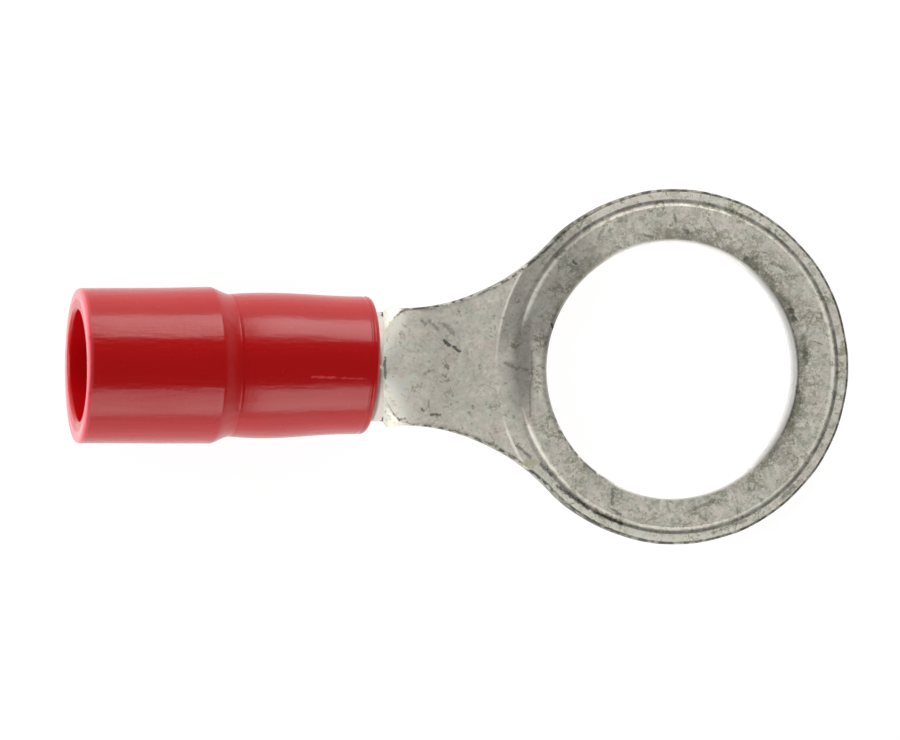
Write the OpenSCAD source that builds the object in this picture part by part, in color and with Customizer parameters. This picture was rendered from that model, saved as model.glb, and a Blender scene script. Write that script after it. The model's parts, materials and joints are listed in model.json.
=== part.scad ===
// Insulated ring terminal for a crimped wire: a stamped and rolled metal body with a stepped sleeve
// pushed over its barrel. Millimetres. The origin is the centre of the stud hole on the tongue's
// underside, +X runs from the wire end to the ring's tip, and +Z leaves the tongue's upper face.

/* [Sheet] */
// Thickness of the sheet that the metal body is stamped from
sheet_t = 0.8; // [0.5:0.05:1]

/* [Ring] */
// Diameter of the stud hole
stud_hole_d = 8.4; // [5:0.1:9]
// Outer diameter of the ring
ring_d = 11.7; // [10.8:0.1:14]
// How far the ring's outline is shifted from the stud hole towards the tip
ring_shift = 0.2; // [0:0.05:0.5]
// Width of the bevel round the upper edge of the stud hole
hole_bevel = 0.1; // [0.05:0.01:0.2]

/* [Pressed shoulder] */
// Width of the lowered band along the ring's outer edge
rim_band_w = 0.38; // [0.2:0.02:0.6]
// How far the lowered band reaches past the ring's outline, across the neck
neck_band_w = 0.16; // [0.05:0.01:0.4]
// Depth of the lowered band below the tongue's upper face
band_depth = 0.12; // [0.04:0.01:0.2]
// Width of the sloped wall on each side of the band
band_slope_w = 0.14; // [0.05:0.01:0.3]

/* [Neck] */
// Width of the neck where it meets the barrel
neck_w = 3.86; // [2.6:0.02:4.6]
// Radius of the concave fillet between neck and ring
neck_fillet_r = 7; // [5:0.1:9]
// Length over which the flat neck curls up into the barrel
curl_len = 1.07; // [0.8:0.05:2]
// How late the curl gathers: 1 is even, and more leaves the neck flat for longer
curl_power = 1.5; // [1:0.1:2.5]
// How far the sheet's faces draw in where the curl meets the barrel
curl_draw_in = 0.02; // [0.01:0.01:0.05]

/* [Barrel] */
// Distance from the stud hole's centre to the front of the barrel
barrel_front = 9.87; // [9.6:0.05:14]
// Length of the barrel from its front to its wire end
barrel_len = 5.3; // [4:0.1:7]
// Diameter of the barrel's bore for the bare wire
barrel_bore_d = 2; // [1.6:0.05:2.3]
// How far the barrel's top is cut back from its front
barrel_top_setback = 0.35; // [0.1:0.05:0.8]
// Depth of the groove that the closed seam leaves along the barrel's top
seam_depth = 0.06; // [0.02:0.01:0.15]

/* [Sleeve] */
// Length of the sleeve
sleeve_len = 9.64; // [8.8:0.1:13]
// How far the top of the barrel stands out of the sleeve's front end
barrel_proud = 0.22; // [0.05:0.01:0.5]
// Length of the wide part that takes the wire's insulation
wide_len = 4.47; // [3:0.1:5.5]
// Length of the outer slope from the wide part down to the waist
step_len = 0.71; // [0.4:0.05:1.2]
// Distance from the waist to the thickest place of the narrow part
swell_len = 0.9; // [0.4:0.1:2]
// Diameter of the bore for the wire's insulation
mouth_bore_d = 3.65; // [3:0.05:4.4]
// Length of the funnel that leads from the mouth's bore to the barrel's bore
funnel_len = 1.2; // [0.5:0.1:2]
// Wall of the wide part at the mouth
mouth_wall = 0.725; // [0.5:0.025:1]
// How much the wide part's radius grows from the mouth to the step
wide_flare = 0.03; // [0:0.01:0.15]
// Wall of the sleeve over the barrel at the waist
waist_wall = 0.525; // [0.4:0.025:0.8]
// Wall of the sleeve over the barrel at its thickest place
swell_wall = 0.56; // [0.4:0.02:0.8]
// Wall of the sleeve over the barrel at its front end
front_wall = 0.435; // [0.3:0.005:0.7]
// Radius of the sleeve's rounded edges
edge_r = 0.12; // [0.05:0.01:0.14]
// Radial gap between the barrel and the sleeve
sleeve_gap = 0.02; // [0.01:0.01:0.05]

/* [Hidden] */
$fn = 128;
EPS = 0.01; // how far a cutter runs past the face it opens
METAL = [0.70, 0.69, 0.67];
VINYL = [0.78, 0.05, 0.06];

ring_r = ring_d / 2;
band_in_r = ring_r - rim_band_w;
band_out_r = ring_r + neck_band_w;

// The fillet touches the neck's edge at fillet_x and the ring's outline further out.
fillet_y = neck_w / 2 + neck_fillet_r;
fillet_x = ring_shift - sqrt(pow(ring_r + neck_fillet_r, 2) - pow(fillet_y, 2));

barrel_bore_r = barrel_bore_d / 2;
barrel_r = barrel_bore_r + sheet_t;
barrel_mid_r = barrel_bore_r + sheet_t / 2;
barrel_front_x = -barrel_front;
barrel_wire_x = barrel_front_x - barrel_len;
curl_start_x = barrel_front_x + curl_len;

sleeve_front_x = barrel_front_x - barrel_top_setback - barrel_proud;
sleeve_mouth_x = sleeve_front_x - sleeve_len;
seat_r = barrel_r + sleeve_gap;
mouth_bore_r = mouth_bore_d / 2;
mouth_r = mouth_bore_r + mouth_wall;
wide_r = mouth_r + wide_flare;
step_x = sleeve_mouth_x + wide_len;
waist_x = step_x + step_len;
swell_x = waist_x + swell_len;

// Half of the neck's width at x, which widens along the fillet.
function neck_half(x) =
    x <= fillet_x ? neck_w / 2 : fillet_y - sqrt(pow(neck_fillet_r, 2) - pow(x - fillet_x, 2));

// Curvature of the sheet's middle line at x, which grows from the flat neck to the barrel.
function curl_curvature(x) =
    pow(min(1, max(0, (curl_start_x - x) / curl_len)), curl_power) / barrel_mid_r;

// Point of the curled sheet at x, s along its middle line and h above it. The middle line is an
// arc that stays level at its lowest place.
function sheet_point(x, s, h) =
    let (k = curl_curvature(x))
    k < 1e-6
        ? [x, s, sheet_t / 2 + h]
        : let (a = s * k * 180 / PI, r = 1 / k)
          [x, (r - h) * sin(a), sheet_t / 2 + r - (r - h) * cos(a)];

// Points of an arc about (x, r) from angle a0 to a1.
function arc(x, r, radius, a0, a1, steps = 4) =
    [for (i = [0:steps]) let (a = a0 + (a1 - a0) * i / steps) [x + radius * cos(a), r + radius * sin(a)]];

// Points of a half cosine wave from a towards b, without the last one.
function wave(a, b, steps = 8) =
    [for (i = [0:steps - 1]) let (t = i / steps, f = (1 - cos(180 * t)) / 2)
        [a.x + (b.x - a.x) * t, a.y + (b.y - a.y) * f]];

// Turns a shape made round the Z axis so that its axis lies on the barrel's, with its Z along +X.
module on_barrel_axis() {
    translate([0, 0, barrel_r]) rotate([0, 90, 0]) children();
}

module tongue_outline() {
    translate([ring_shift, 0]) circle(ring_r);
    intersection() {
        translate([curl_start_x, -fillet_y]) square([ring_shift - curl_start_x, 2 * fillet_y]);
        difference() {
            union() {
                translate([fillet_x - curl_len, -neck_w / 2]) square([curl_len, neck_w]);
                polygon([[fillet_x, -fillet_y], [ring_shift, 0], [fillet_x, fillet_y]]);
            }
            for (side = [-1, 1]) translate([fillet_x, side * fillet_y]) circle(neck_fillet_r);
        }
    }
}

// Ring of lowered face: a flat floor between two sloped walls.
module shoulder_cutter() {
    slope = band_slope_w * (band_depth + EPS) / band_depth;
    translate([ring_shift, 0, sheet_t - band_depth])
        rotate_extrude()
            polygon([
                [band_in_r, 0], [band_out_r, 0],
                [band_out_r + slope, band_depth + EPS], [band_in_r - slope, band_depth + EPS]
            ]);
}

module stud_hole_cutter() {
    hole_r = stud_hole_d / 2;
    translate([0, 0, -EPS]) cylinder(r = hole_r, h = sheet_t + 2 * EPS);
    translate([0, 0, sheet_t - hole_bevel])
        cylinder(r1 = hole_r, r2 = hole_r + hole_bevel + EPS, h = hole_bevel + EPS);
}

module tongue() {
    difference() {
        linear_extrude(sheet_t) tongue_outline();
        stud_hole_cutter();
        shoulder_cutter();
    }
}

// Sheet between the flat neck and the barrel: cross sections along X, each a strip bent to an arc.
module curl() {
    stations = 12;
    across = 12;
    ring = 2 * (across + 1);
    function section(x) =
        let (
            draw_in = curl_draw_in * (curl_start_x - x) / curl_len,
            half = neck_half(x) - draw_in,
            h = sheet_t / 2 - draw_in
        )
        [for (side = [-1, 1], i = [0:across]) sheet_point(x, -side * half * (1 - 2 * i / across), side * h)];
    points = [for (j = [0:stations]) each section(barrel_front_x + curl_len * j / stations)];
    sides = [
        for (j = [0:stations - 1], i = [0:ring - 1])
            let (a = j * ring + i, b = j * ring + (i + 1) % ring)
            each [[a, b, a + ring], [b, b + ring, a + ring]]
    ];
    function cap(first, flip) = [
        for (i = [0:across - 1])
            let (a = first + i, d = first + ring - 1 - i)
            each flip ? [[a, a + 1, d - 1], [a, d - 1, d]] : [[a, d - 1, a + 1], [a, d, d - 1]]
    ];
    polyhedron(points, concat(sides, cap(0, false), cap(stations * ring, true)));
}

// The rolled sheet closes at the top. Its front is cut back on a slope from mid-height to the seam.
module barrel() {
    difference() {
        on_barrel_axis() translate([0, 0, barrel_wire_x]) cylinder(r = barrel_r, h = barrel_len);
        on_barrel_axis() translate([0, 0, barrel_wire_x - EPS])
            cylinder(r = barrel_bore_r, h = barrel_len + 2 * EPS);
        translate([0, barrel_r + EPS, barrel_r]) rotate([90, 0, 0])
            linear_extrude(2 * (barrel_r + EPS))
                polygon([
                    [barrel_front_x, 0],
                    [barrel_front_x + EPS, 0],
                    [barrel_front_x + EPS, barrel_r + EPS],
                    [barrel_front_x - barrel_top_setback * (barrel_r + EPS) / barrel_r, barrel_r + EPS]
                ]);
        translate([barrel_wire_x - EPS, 0, 2 * barrel_r]) rotate([45, 0, 0])
            translate([0, -seam_depth / sqrt(2), -seam_depth / sqrt(2)])
                cube([barrel_len + 2 * EPS, seam_depth * sqrt(2), seam_depth * sqrt(2)]);
    }
}

module terminal_body() {
    color(METAL) {
        tongue();
        curl();
        barrel();
    }
}

// Half section of the sleeve as [radius, x] points, from the mouth's inner edge along the outside
// to the front, and back along the inside over the barrel's seat, its end stop and the funnel.
module sleeve_half_section() {
    outside = concat(
        arc(sleeve_mouth_x + edge_r, mouth_r - edge_r, edge_r, 180, 90),
        wave([step_x, wide_r], [waist_x, seat_r + waist_wall]),
        wave([waist_x, seat_r + waist_wall], [swell_x, seat_r + swell_wall], 4),
        wave([swell_x, seat_r + swell_wall], [sleeve_front_x - edge_r, seat_r + front_wall]),
        arc(sleeve_front_x - edge_r, seat_r + front_wall - edge_r, edge_r, 90, 0)
    );
    inside = concat(
        [
            [sleeve_front_x, seat_r],
            [barrel_wire_x, seat_r],
            [barrel_wire_x, barrel_bore_r],
            [barrel_wire_x - funnel_len, mouth_bore_r]
        ],
        arc(sleeve_mouth_x + edge_r, mouth_bore_r + edge_r, edge_r, 270, 180)
    );
    polygon([for (p = concat(outside, inside)) [p.y, p.x]]);
}

module insulating_sleeve() {
    color(VINYL) on_barrel_axis() rotate_extrude() sleeve_half_section();
}

terminal_body();
insulating_sleeve();
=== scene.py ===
"""Insulated ring terminal: a stamped, rolled and tinned metal body with a stepped red vinyl sleeve.

Both pieces are surfaces worked out as whole arrays in millimetres, in the part's own frame: the
origin is the stud hole's centre on the tongue's underside, +X runs to the ring's tip, +Z is up.
"""
import json
import math
from functools import reduce
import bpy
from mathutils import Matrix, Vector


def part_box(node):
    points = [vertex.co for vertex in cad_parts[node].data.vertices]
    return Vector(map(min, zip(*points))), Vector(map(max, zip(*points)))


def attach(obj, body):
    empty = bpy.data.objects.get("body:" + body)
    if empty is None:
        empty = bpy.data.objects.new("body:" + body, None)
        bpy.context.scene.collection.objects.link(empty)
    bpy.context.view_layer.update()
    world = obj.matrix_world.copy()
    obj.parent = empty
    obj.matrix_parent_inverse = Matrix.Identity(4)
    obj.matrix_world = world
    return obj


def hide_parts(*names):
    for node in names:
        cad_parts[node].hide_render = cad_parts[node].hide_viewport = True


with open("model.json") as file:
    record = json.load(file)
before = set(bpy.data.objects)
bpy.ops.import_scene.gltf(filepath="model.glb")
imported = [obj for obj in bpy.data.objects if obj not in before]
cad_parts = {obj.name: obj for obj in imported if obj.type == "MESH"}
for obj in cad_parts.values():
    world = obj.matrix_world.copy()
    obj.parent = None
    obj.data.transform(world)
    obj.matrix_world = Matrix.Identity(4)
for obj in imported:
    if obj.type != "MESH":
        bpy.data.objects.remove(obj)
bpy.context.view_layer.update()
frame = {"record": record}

from types import SimpleNamespace

import bpy
import numpy as np
from mathutils import Vector

# ---------------------------------------------------------------- sizes, millimetres
MM = 0.001
body_lo, body_hi = (np.array(c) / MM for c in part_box("terminal_body"))
sleeve_lo, sleeve_hi = (np.array(c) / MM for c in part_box("insulating_sleeve"))
MOUNTS = {m["name"]: m for m in frame["record"]["mounts"]}

SHEET_T = MOUNTS["ring_upper_face"]["pos_m"][2] / MM
HOLE_R = MOUNTS["stud_hole"]["dims"]["r_mm"]
RING_R = (body_hi[1] - body_lo[1]) / 2
RING_X = body_hi[0] - RING_R
BORE_R = MOUNTS["barrel_bore"]["dims"]["r_mm"]
BARREL_R = BORE_R + SHEET_T
MID_R = BORE_R + SHEET_T / 2
AXIS_Z = MOUNTS["barrel_bore"]["pos_m"][2] / MM
WIRE_X = body_lo[0]
FRONT_X = WIRE_X + MOUNTS["barrel_bore"]["dims"]["length_mm"]

NECK_HALF = 1.93       # half the neck's width
FILLET_R = 7.0         # fillet between neck and ring
FILLET_Y = NECK_HALF + FILLET_R
FILLET_X = RING_X - math.sqrt((RING_R + FILLET_R) ** 2 - FILLET_Y ** 2)
CURL_LEN = 1.07        # length over which the neck curls up into the barrel
CURL_POWER = 1.5
CURL_LEAD = 0.12       # how far before the curl its soft onset starts
CURL_ONSET = 0.16      # how soft that onset is
CURL_X = FRONT_X + CURL_LEN
TOP_SETBACK = 0.35     # how far the barrel's top is cut back from its front
SEAM_GAP = 0.016       # gap between the barrel's two closed edges
SEAM_S = math.pi * MID_R - SEAM_GAP / 2
CORNER_R = 0.15        # corners where the blank turns from neck to barrel, and to the seam
HOLE_ROLL = 0.10       # rolled upper edge of the stud hole
EDGE_ROLL = 0.085      # rolled upper edge of the outline
EDGE_BREAK = 0.025     # sharp lower edges
EDGE_TORN = 0.022      # how far the torn lower zone of the cut edge draws in
HOLE_TORN = 0.02       # and that of the hole's wall
BAND_DEPTH = 0.10      # lowered band along the ring's rim, and across the neck
BAND_IN = (RING_R - 0.545, RING_R - 0.455)
BAND_OUT = (RING_R + 0.16, RING_R + 0.28)
CREASE_R = RING_R - 0.365       # middle of the painted shade in the crease at the band's foot
OUTER_LINE_R = RING_R + 0.215   # painted highlight line where the band ends on the neck
HOLE_OFF = (0.045, -0.10)       # middle of the punched hole, slightly off the part's origin
TOP, LOW = SHEET_T / 2, -SHEET_T / 2    # faces of the flat blank
ACROSS = 64            # steps across the neck and the strip
MIRROR = np.array([1, -1])     # takes a point (x, s) to the other half of the blank

MOUTH_X, END_X = sleeve_lo[0], sleeve_hi[0]     # the sleeve's two ends
STEP_X = MOUTH_X + 4.36                         # end of its wide part
WIDE_R = (sleeve_hi[1] - sleeve_lo[1]) / 2
MOUTH_R = WIDE_R - 0.03
MOUTH_BORE_R = MOUNTS["wire_entry"]["dims"]["r_mm"]
SEAT_R = BARREL_R + 0.02                        # its bore over the barrel
WAIST_X, WAIST_R = STEP_X + 0.70, SEAT_R + 0.530
SWELL_X, SWELL_R = WAIST_X + 1.0, SEAT_R + 0.572    # thickest place beyond the waist
END_R = SEAT_R + 0.435
FUNNEL_LEN = 1.2       # funnel between the mouth's bore and the barrel's
RIM_R, INNER_RIM_R = 0.13, 0.12     # rounded edges of the mouth
END_ROUND = 0.16       # rounded edge of the other end
FOLD_X = (END_X - END_ROUND - 0.15, END_X - END_ROUND - 0.08, END_X - END_ROUND)
FOLD_DEPTH = 0.012     # small fold just before that edge
AROUND = 256           # steps round the sleeve


# ---------------------------------------------------------------- array helpers
def smooth(lo, hi, x):
    """Smooth step from 0 at lo to 1 at hi."""
    t = np.clip((x - lo) / (hi - lo), 0, 1)
    return t * t * (3 - 2 * t)


def arc(cx, cy, r, a0, a1, n):
    """Points on a circle about (cx, cy) from angle a0 to a1 in degrees, without the last one."""
    a = np.radians(np.linspace(a0, a1, n, endpoint=False))
    return np.stack([cx + r * np.cos(a), cy + r * np.sin(a)], axis=1)


def rolled(p):
    """Carries points (x, s, h) of the flat blank onto the curled sheet. The sheet's middle line is
    an arc of curvature k(x), level at its lowest place: k is 0 on the tongue, grows with a soft
    onset as a power of the distance along the curl, and is 1 / MID_R on the barrel."""
    x, s, h = p[..., 0], p[..., 1], p[..., 2]
    t = np.clip((CURL_X + CURL_LEAD - x) / (CURL_LEN + CURL_LEAD), 0, 1)
    k = ((1 + CURL_ONSET) * t * t / (t + CURL_ONSET)) ** CURL_POWER / MID_R
    flat = k < 1e-6
    safe = np.where(flat, 1.0, k)
    r, a = 1 / safe, s * safe
    y = np.where(flat, s, (r - h) * np.sin(a))
    z = np.where(flat, h, r - (r - h) * np.cos(a))
    return np.stack([x, y, SHEET_T / 2 + z], axis=-1)


def grid_quads(index, close_rows=False, close_cols=False):
    """Quads between neighbouring entries of a 2-D array of vertex numbers, each wound
    (i, j), (i, j+1), (i+1, j+1), (i+1, j)."""
    a = np.concatenate([index, index[:1]]) if close_rows else index
    a = np.concatenate([a, a[:, :1]], axis=1) if close_cols else a
    return np.stack([a[:-1, :-1], a[:-1, 1:], a[1:, 1:], a[1:, :-1]], axis=-1).reshape(-1, 4)


def make_piece(name, points, quads, node, fields=None):
    """Mesh object from points in millimetres, quads of vertex numbers and per-point fields, with
    unused points dropped. It stands for a node of the frame and rides on its body."""
    used, quads = np.unique(quads, return_inverse=True)
    quads = quads.reshape(-1, 4)
    mesh = bpy.data.meshes.new(name)
    mesh.from_pydata((points[used] * MM).tolist(), [], quads.tolist())
    mesh.polygons.foreach_set("use_smooth", np.ones(len(quads), dtype=bool))
    for label, values in (fields or {}).items():
        layer = mesh.attributes.new(label, "FLOAT", "POINT")
        layer.data.foreach_set("value", values[used].astype(np.float32))
    mesh.update()
    piece = bpy.data.objects.new(name, mesh)
    bpy.context.scene.collection.objects.link(piece)
    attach(piece, "root")
    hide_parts(node)
    return piece


# ---------------------------------------------------------------- metal body
def blank_outline():
    """Upper half of the blank's outline, from the ring's tip to the wire end, as points (x, s):
    ring arc, fillet arc, neck edge, concave corner, barrel front sloping back as a cosine of the
    angle round the barrel, convex corner and seam edge. Also the number of the point on the neck,
    just before the curl, where the ring's columns give way to the strip's stations."""
    touch = math.degrees(math.atan2(FILLET_Y, FILLET_X - RING_X))
    ring = arc(RING_X, 0, RING_R, 0, touch, 264)
    fillet = arc(FILLET_X, FILLET_Y, FILLET_R, touch - 180, -90, 58)
    neck_x = np.linspace(FILLET_X, FRONT_X + CORNER_R, 10, endpoint=False)
    neck = np.stack([neck_x, np.full_like(neck_x, NECK_HALF)], axis=1)
    concave = arc(FRONT_X + CORNER_R, NECK_HALF + CORNER_R, CORNER_R, 270, 180, 8)
    s = np.linspace(NECK_HALF + CORNER_R, SEAM_S - CORNER_R, 26, endpoint=False)
    front = np.stack([FRONT_X + TOP_SETBACK * np.minimum(0, np.cos(s / MID_R)), s], axis=1)
    top_x = FRONT_X - TOP_SETBACK
    convex = arc(top_x - CORNER_R, SEAM_S - CORNER_R, CORNER_R, 0, 90, 8)
    seam_x = np.linspace(top_x - CORNER_R, WIRE_X, 44)
    seam = np.stack([seam_x, np.full_like(seam_x, SEAM_S)], axis=1)
    outline = np.concatenate([ring, fillet, neck, concave, front, convex, seam])
    return outline, int(np.argmax(outline[:, 0] < CURL_X + 0.35))


def face_lowering(x, s):
    """How far the pressed band lowers the upper face: a flat floor between two smooth slopes,
    measured by the distance from the ring's centre, and shallower where it crosses the neck."""
    rho = np.hypot(x - RING_X, s)
    across = smooth(0.9, 2.6, np.abs(s)) * (x < 0) + (x >= 0)
    depth = BAND_DEPTH * (0.08 + 0.92 * across)
    return depth * smooth(*BAND_IN, rho) * (1 - smooth(*BAND_OUT, rho))


def sheet_sway(x, s):
    """Slow unevenness of the sheet, at most 0.012 mm, as a sum of long waves."""
    return (0.005 * np.sin(0.9 * x + 0.6 * s + 0.4) + 0.004 * np.sin(1.7 * s - 0.8 * x + 1.9)
            + 0.003 * np.sin(2.6 * x + 2.1 * s))


def outline_sway(p):
    """Small unevenness of the cut outline, in millimetres, as waves along the edge."""
    a = np.arctan2(p[:, 1], p[:, 0] - RING_X)
    return (0.018 + 0.010 * np.cos(a) + 0.007 * np.sin(5 * a + 0.7) + 0.006 * np.sin(11 * a + 2.1)
            + 0.004 * np.sin(23 * a))


def cut_outline():
    """The blank's outline with its unevenness, its outward normals, and the number of the point
    where the ring's columns give way to the strip's stations. The unevenness fades before it."""
    edge, corner = blank_outline()
    tangent = np.gradient(edge, axis=0)
    tangent /= np.linalg.norm(tangent, axis=1, keepdims=True)
    tangent[0] = (0, 1)
    normal = np.stack([tangent[:, 1], -tangent[:, 0]], axis=1)
    sway = outline_sway(edge) * (1 - smooth(corner - 30, corner - 4, np.arange(len(edge))))
    return edge + normal * sway[:, None], normal, corner


def edge_chain(top_h):
    """Cut edge of the sheet from its upper to its lower face, as (offset outwards, height) for
    each top height: a quarter-round roll, a straight sheared wall, a torn zone that draws in
    slightly, and a small lower break. The ends, which lie on the faces, are left out."""
    phi = np.radians([18, 36, 54, 72, 90])
    roll_o = EDGE_ROLL * np.sin(phi)
    roll_h = top_h[:, None] - EDGE_ROLL * (1 - np.cos(phi))
    share = np.array([0.15, 0.32, 0.46, 0.52, 0.66, 0.82])
    wall_top = top_h - EDGE_ROLL
    wall_low = LOW + EDGE_BREAK
    wall_h = wall_top[:, None] + (wall_low - wall_top)[:, None] * share
    wall_o = EDGE_ROLL - EDGE_TORN * smooth(0.44, 0.95, share)
    phi = np.radians([0, 30, 60])
    break_o = EDGE_ROLL - EDGE_TORN - EDGE_BREAK * (1 - np.cos(phi))
    break_h = np.broadcast_to(wall_low - EDGE_BREAK * np.sin(phi), (len(top_h), 3))
    offset = np.concatenate([roll_o, wall_o, break_o])
    height = np.concatenate([roll_h, wall_h, break_h], axis=1)
    return np.broadcast_to(offset, height.shape), height


def hole_chain():
    """Wall of the stud hole from the lower to the upper face, as (offset outwards, height): lower
    break, torn zone, straight wall and rolled upper edge."""
    phi = np.radians([90, 60, 30])
    wall = np.array([0.12, 0.3, 0.42, 0.5, 0.68, 0.86])
    roll = np.radians([0, 20, 40, 60, 75])
    offset = np.concatenate([EDGE_BREAK * np.sin(phi) + HOLE_TORN,
                             HOLE_TORN * (1 - smooth(0.2, 0.5, wall)),
                             HOLE_ROLL * (1 - np.cos(roll))])
    height = np.concatenate([LOW + EDGE_BREAK * (1 - np.sin(phi)),
                             LOW + EDGE_BREAK + wall * (SHEET_T - EDGE_BREAK - HOLE_ROLL),
                             TOP - HOLE_ROLL * (1 - np.sin(roll))])
    return offset, height


def face_steps(start, reach):
    """Distances along each ray over the upper face, from start to reach, bunched on the two slopes
    of the pressed band."""
    gap = reach - BAND_IN[1]
    knots = np.stack([start, np.full(len(reach), BAND_IN[0]), np.full(len(reach), BAND_IN[1]),
                      np.minimum(BAND_OUT[0], BAND_IN[1] + 0.45 * gap),
                      np.minimum(BAND_OUT[1], BAND_IN[1] + 0.7 * gap), reach], axis=1)
    parts = [knots[:, i:i + 1] + (knots[:, i + 1] - knots[:, i])[:, None] * np.arange(n) / n
             for i, n in enumerate([20, 9, 8, 9, 18])]
    return np.concatenate(parts + [knots[:, -1:]], axis=1)


def ring_columns(edge, normal, corner):
    """Ring and neck as columns of points: one for each outline point, from the lower neck corner
    round the tip to the upper one, and then one for each point of a straight line across the neck.
    A column lies over a ray from the ring's centre, up the hole's wall, out over the upper face,
    down the cut edge and back along the underside. The neck's columns have unused points in place
    of the cut edge. Also the number of ring columns, and the rows at which the upper face, the cut
    edge and the underside start."""
    sigma = np.linspace(1, -1, ACROSS + 1)[1:-1, None]

    def round_ring(a):
        return np.concatenate([(a * MIRROR)[corner:0:-1], a[:corner + 1]])

    def with_neck(a):
        return np.concatenate([round_ring(a), a[corner] * [1, 0] + sigma * a[corner] * [0, 1]])

    top_end = with_neck(edge - normal * EDGE_ROLL)
    low_end = with_neck(edge - normal * (EDGE_TORN + EDGE_BREAK))
    out = round_ring(normal)
    ray = top_end - [RING_X, 0]
    reach = np.linalg.norm(ray, axis=1)
    ray /= reach[:, None]

    def to_hole(r):
        """Distance along each ray from the ring's centre to the circle r about the hole."""
        away = np.array(HOLE_OFF) - [RING_X, 0]
        along = ray @ away[:, None]
        return along + np.sqrt(r ** 2 - away @ away + along ** 2)

    def at(rho, h):
        xy = ray[:, None, :] * rho[..., None] + [RING_X, 0]
        return np.concatenate([xy, np.broadcast_to(h, rho.shape)[..., None]], axis=-1)

    offset, height = hole_chain()
    hole = at(to_hole(HOLE_R + offset), height)
    upper = at(face_steps(to_hole(np.array([HOLE_R + HOLE_ROLL]))[:, 0], reach), TOP)
    upper[..., 2] -= face_lowering(upper[..., 0], upper[..., 1])
    offset, height = edge_chain(upper[:, -1, 2])
    outward = np.zeros_like(top_end)
    outward[:len(out)] = out
    cut = np.concatenate([top_end[:, None, :] + outward[:, None, :] * offset[..., None],
                          height[..., None]], axis=-1)
    share = np.linspace(0, 1, 20, endpoint=False)[:, None]
    hole_low = at(to_hole(np.array([HOLE_R + EDGE_BREAK + HOLE_TORN])), LOW)[:, :, :2]
    under = low_end[:, None, :] + (hole_low - low_end[:, None, :]) * share
    under = np.concatenate([under, np.full(under.shape[:2] + (1,), LOW)], axis=-1)
    parts = [hole, upper, cut, under]
    starts = np.cumsum([part.shape[1] for part in parts[:3]])
    return np.concatenate(parts, axis=1), len(out), starts


def strip_loops(edge, normal, corner):
    """Neck's end, curl and barrel as closed loops round the strip, one for each outline point
    beyond the corner: upper face, one side, underside, other side. A loop's middle lags behind its
    edges. Also the points of the one side."""
    beyond = np.arange(corner + 1, len(edge))
    edge_x = edge[beyond, 0]
    n_front = np.searchsorted(-edge[:, 0], -(FRONT_X - TOP_SETBACK))
    lag = 0.6 * smooth(corner + 6, n_front, beyond) * (1 - smooth(n_front, len(edge) - 4, beyond))
    middle = edge_x - lag
    sigma = np.linspace(-1, 1, ACROSS + 1)
    end_roll = 1 - smooth(0, 0.12, edge_x - WIRE_X)
    thick_top = TOP - 0.05 * end_roll
    thick_low = LOW + 0.05 * end_roll

    def face(reach, h, across):
        q = (edge - normal * reach)[beyond]
        x = middle[:, None] + (q[:, :1] - middle[:, None]) * across ** 4
        return np.stack([x, q[:, 1:] * across, np.broadcast_to(h[:, None], x.shape)], axis=-1)

    offset, height = edge_chain(thick_top)
    height = np.maximum(height, thick_low[:, None] + 0.004 * np.arange(height.shape[1], 0, -1))
    inset = (edge - normal * EDGE_ROLL)[beyond]
    side = np.concatenate([inset[:, None, :] + normal[beyond][:, None, :] * offset[..., None],
                           height[..., None]], axis=-1)
    side[:, :, 0] = np.maximum(side[:, :, 0], WIRE_X)
    loops = [face(EDGE_ROLL, thick_top, sigma), side,
             face(EDGE_TORN + EDGE_BREAK, thick_low, -sigma), (side * [1, -1, 1])[:, ::-1]]
    return np.concatenate(loops, axis=1), side


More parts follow.
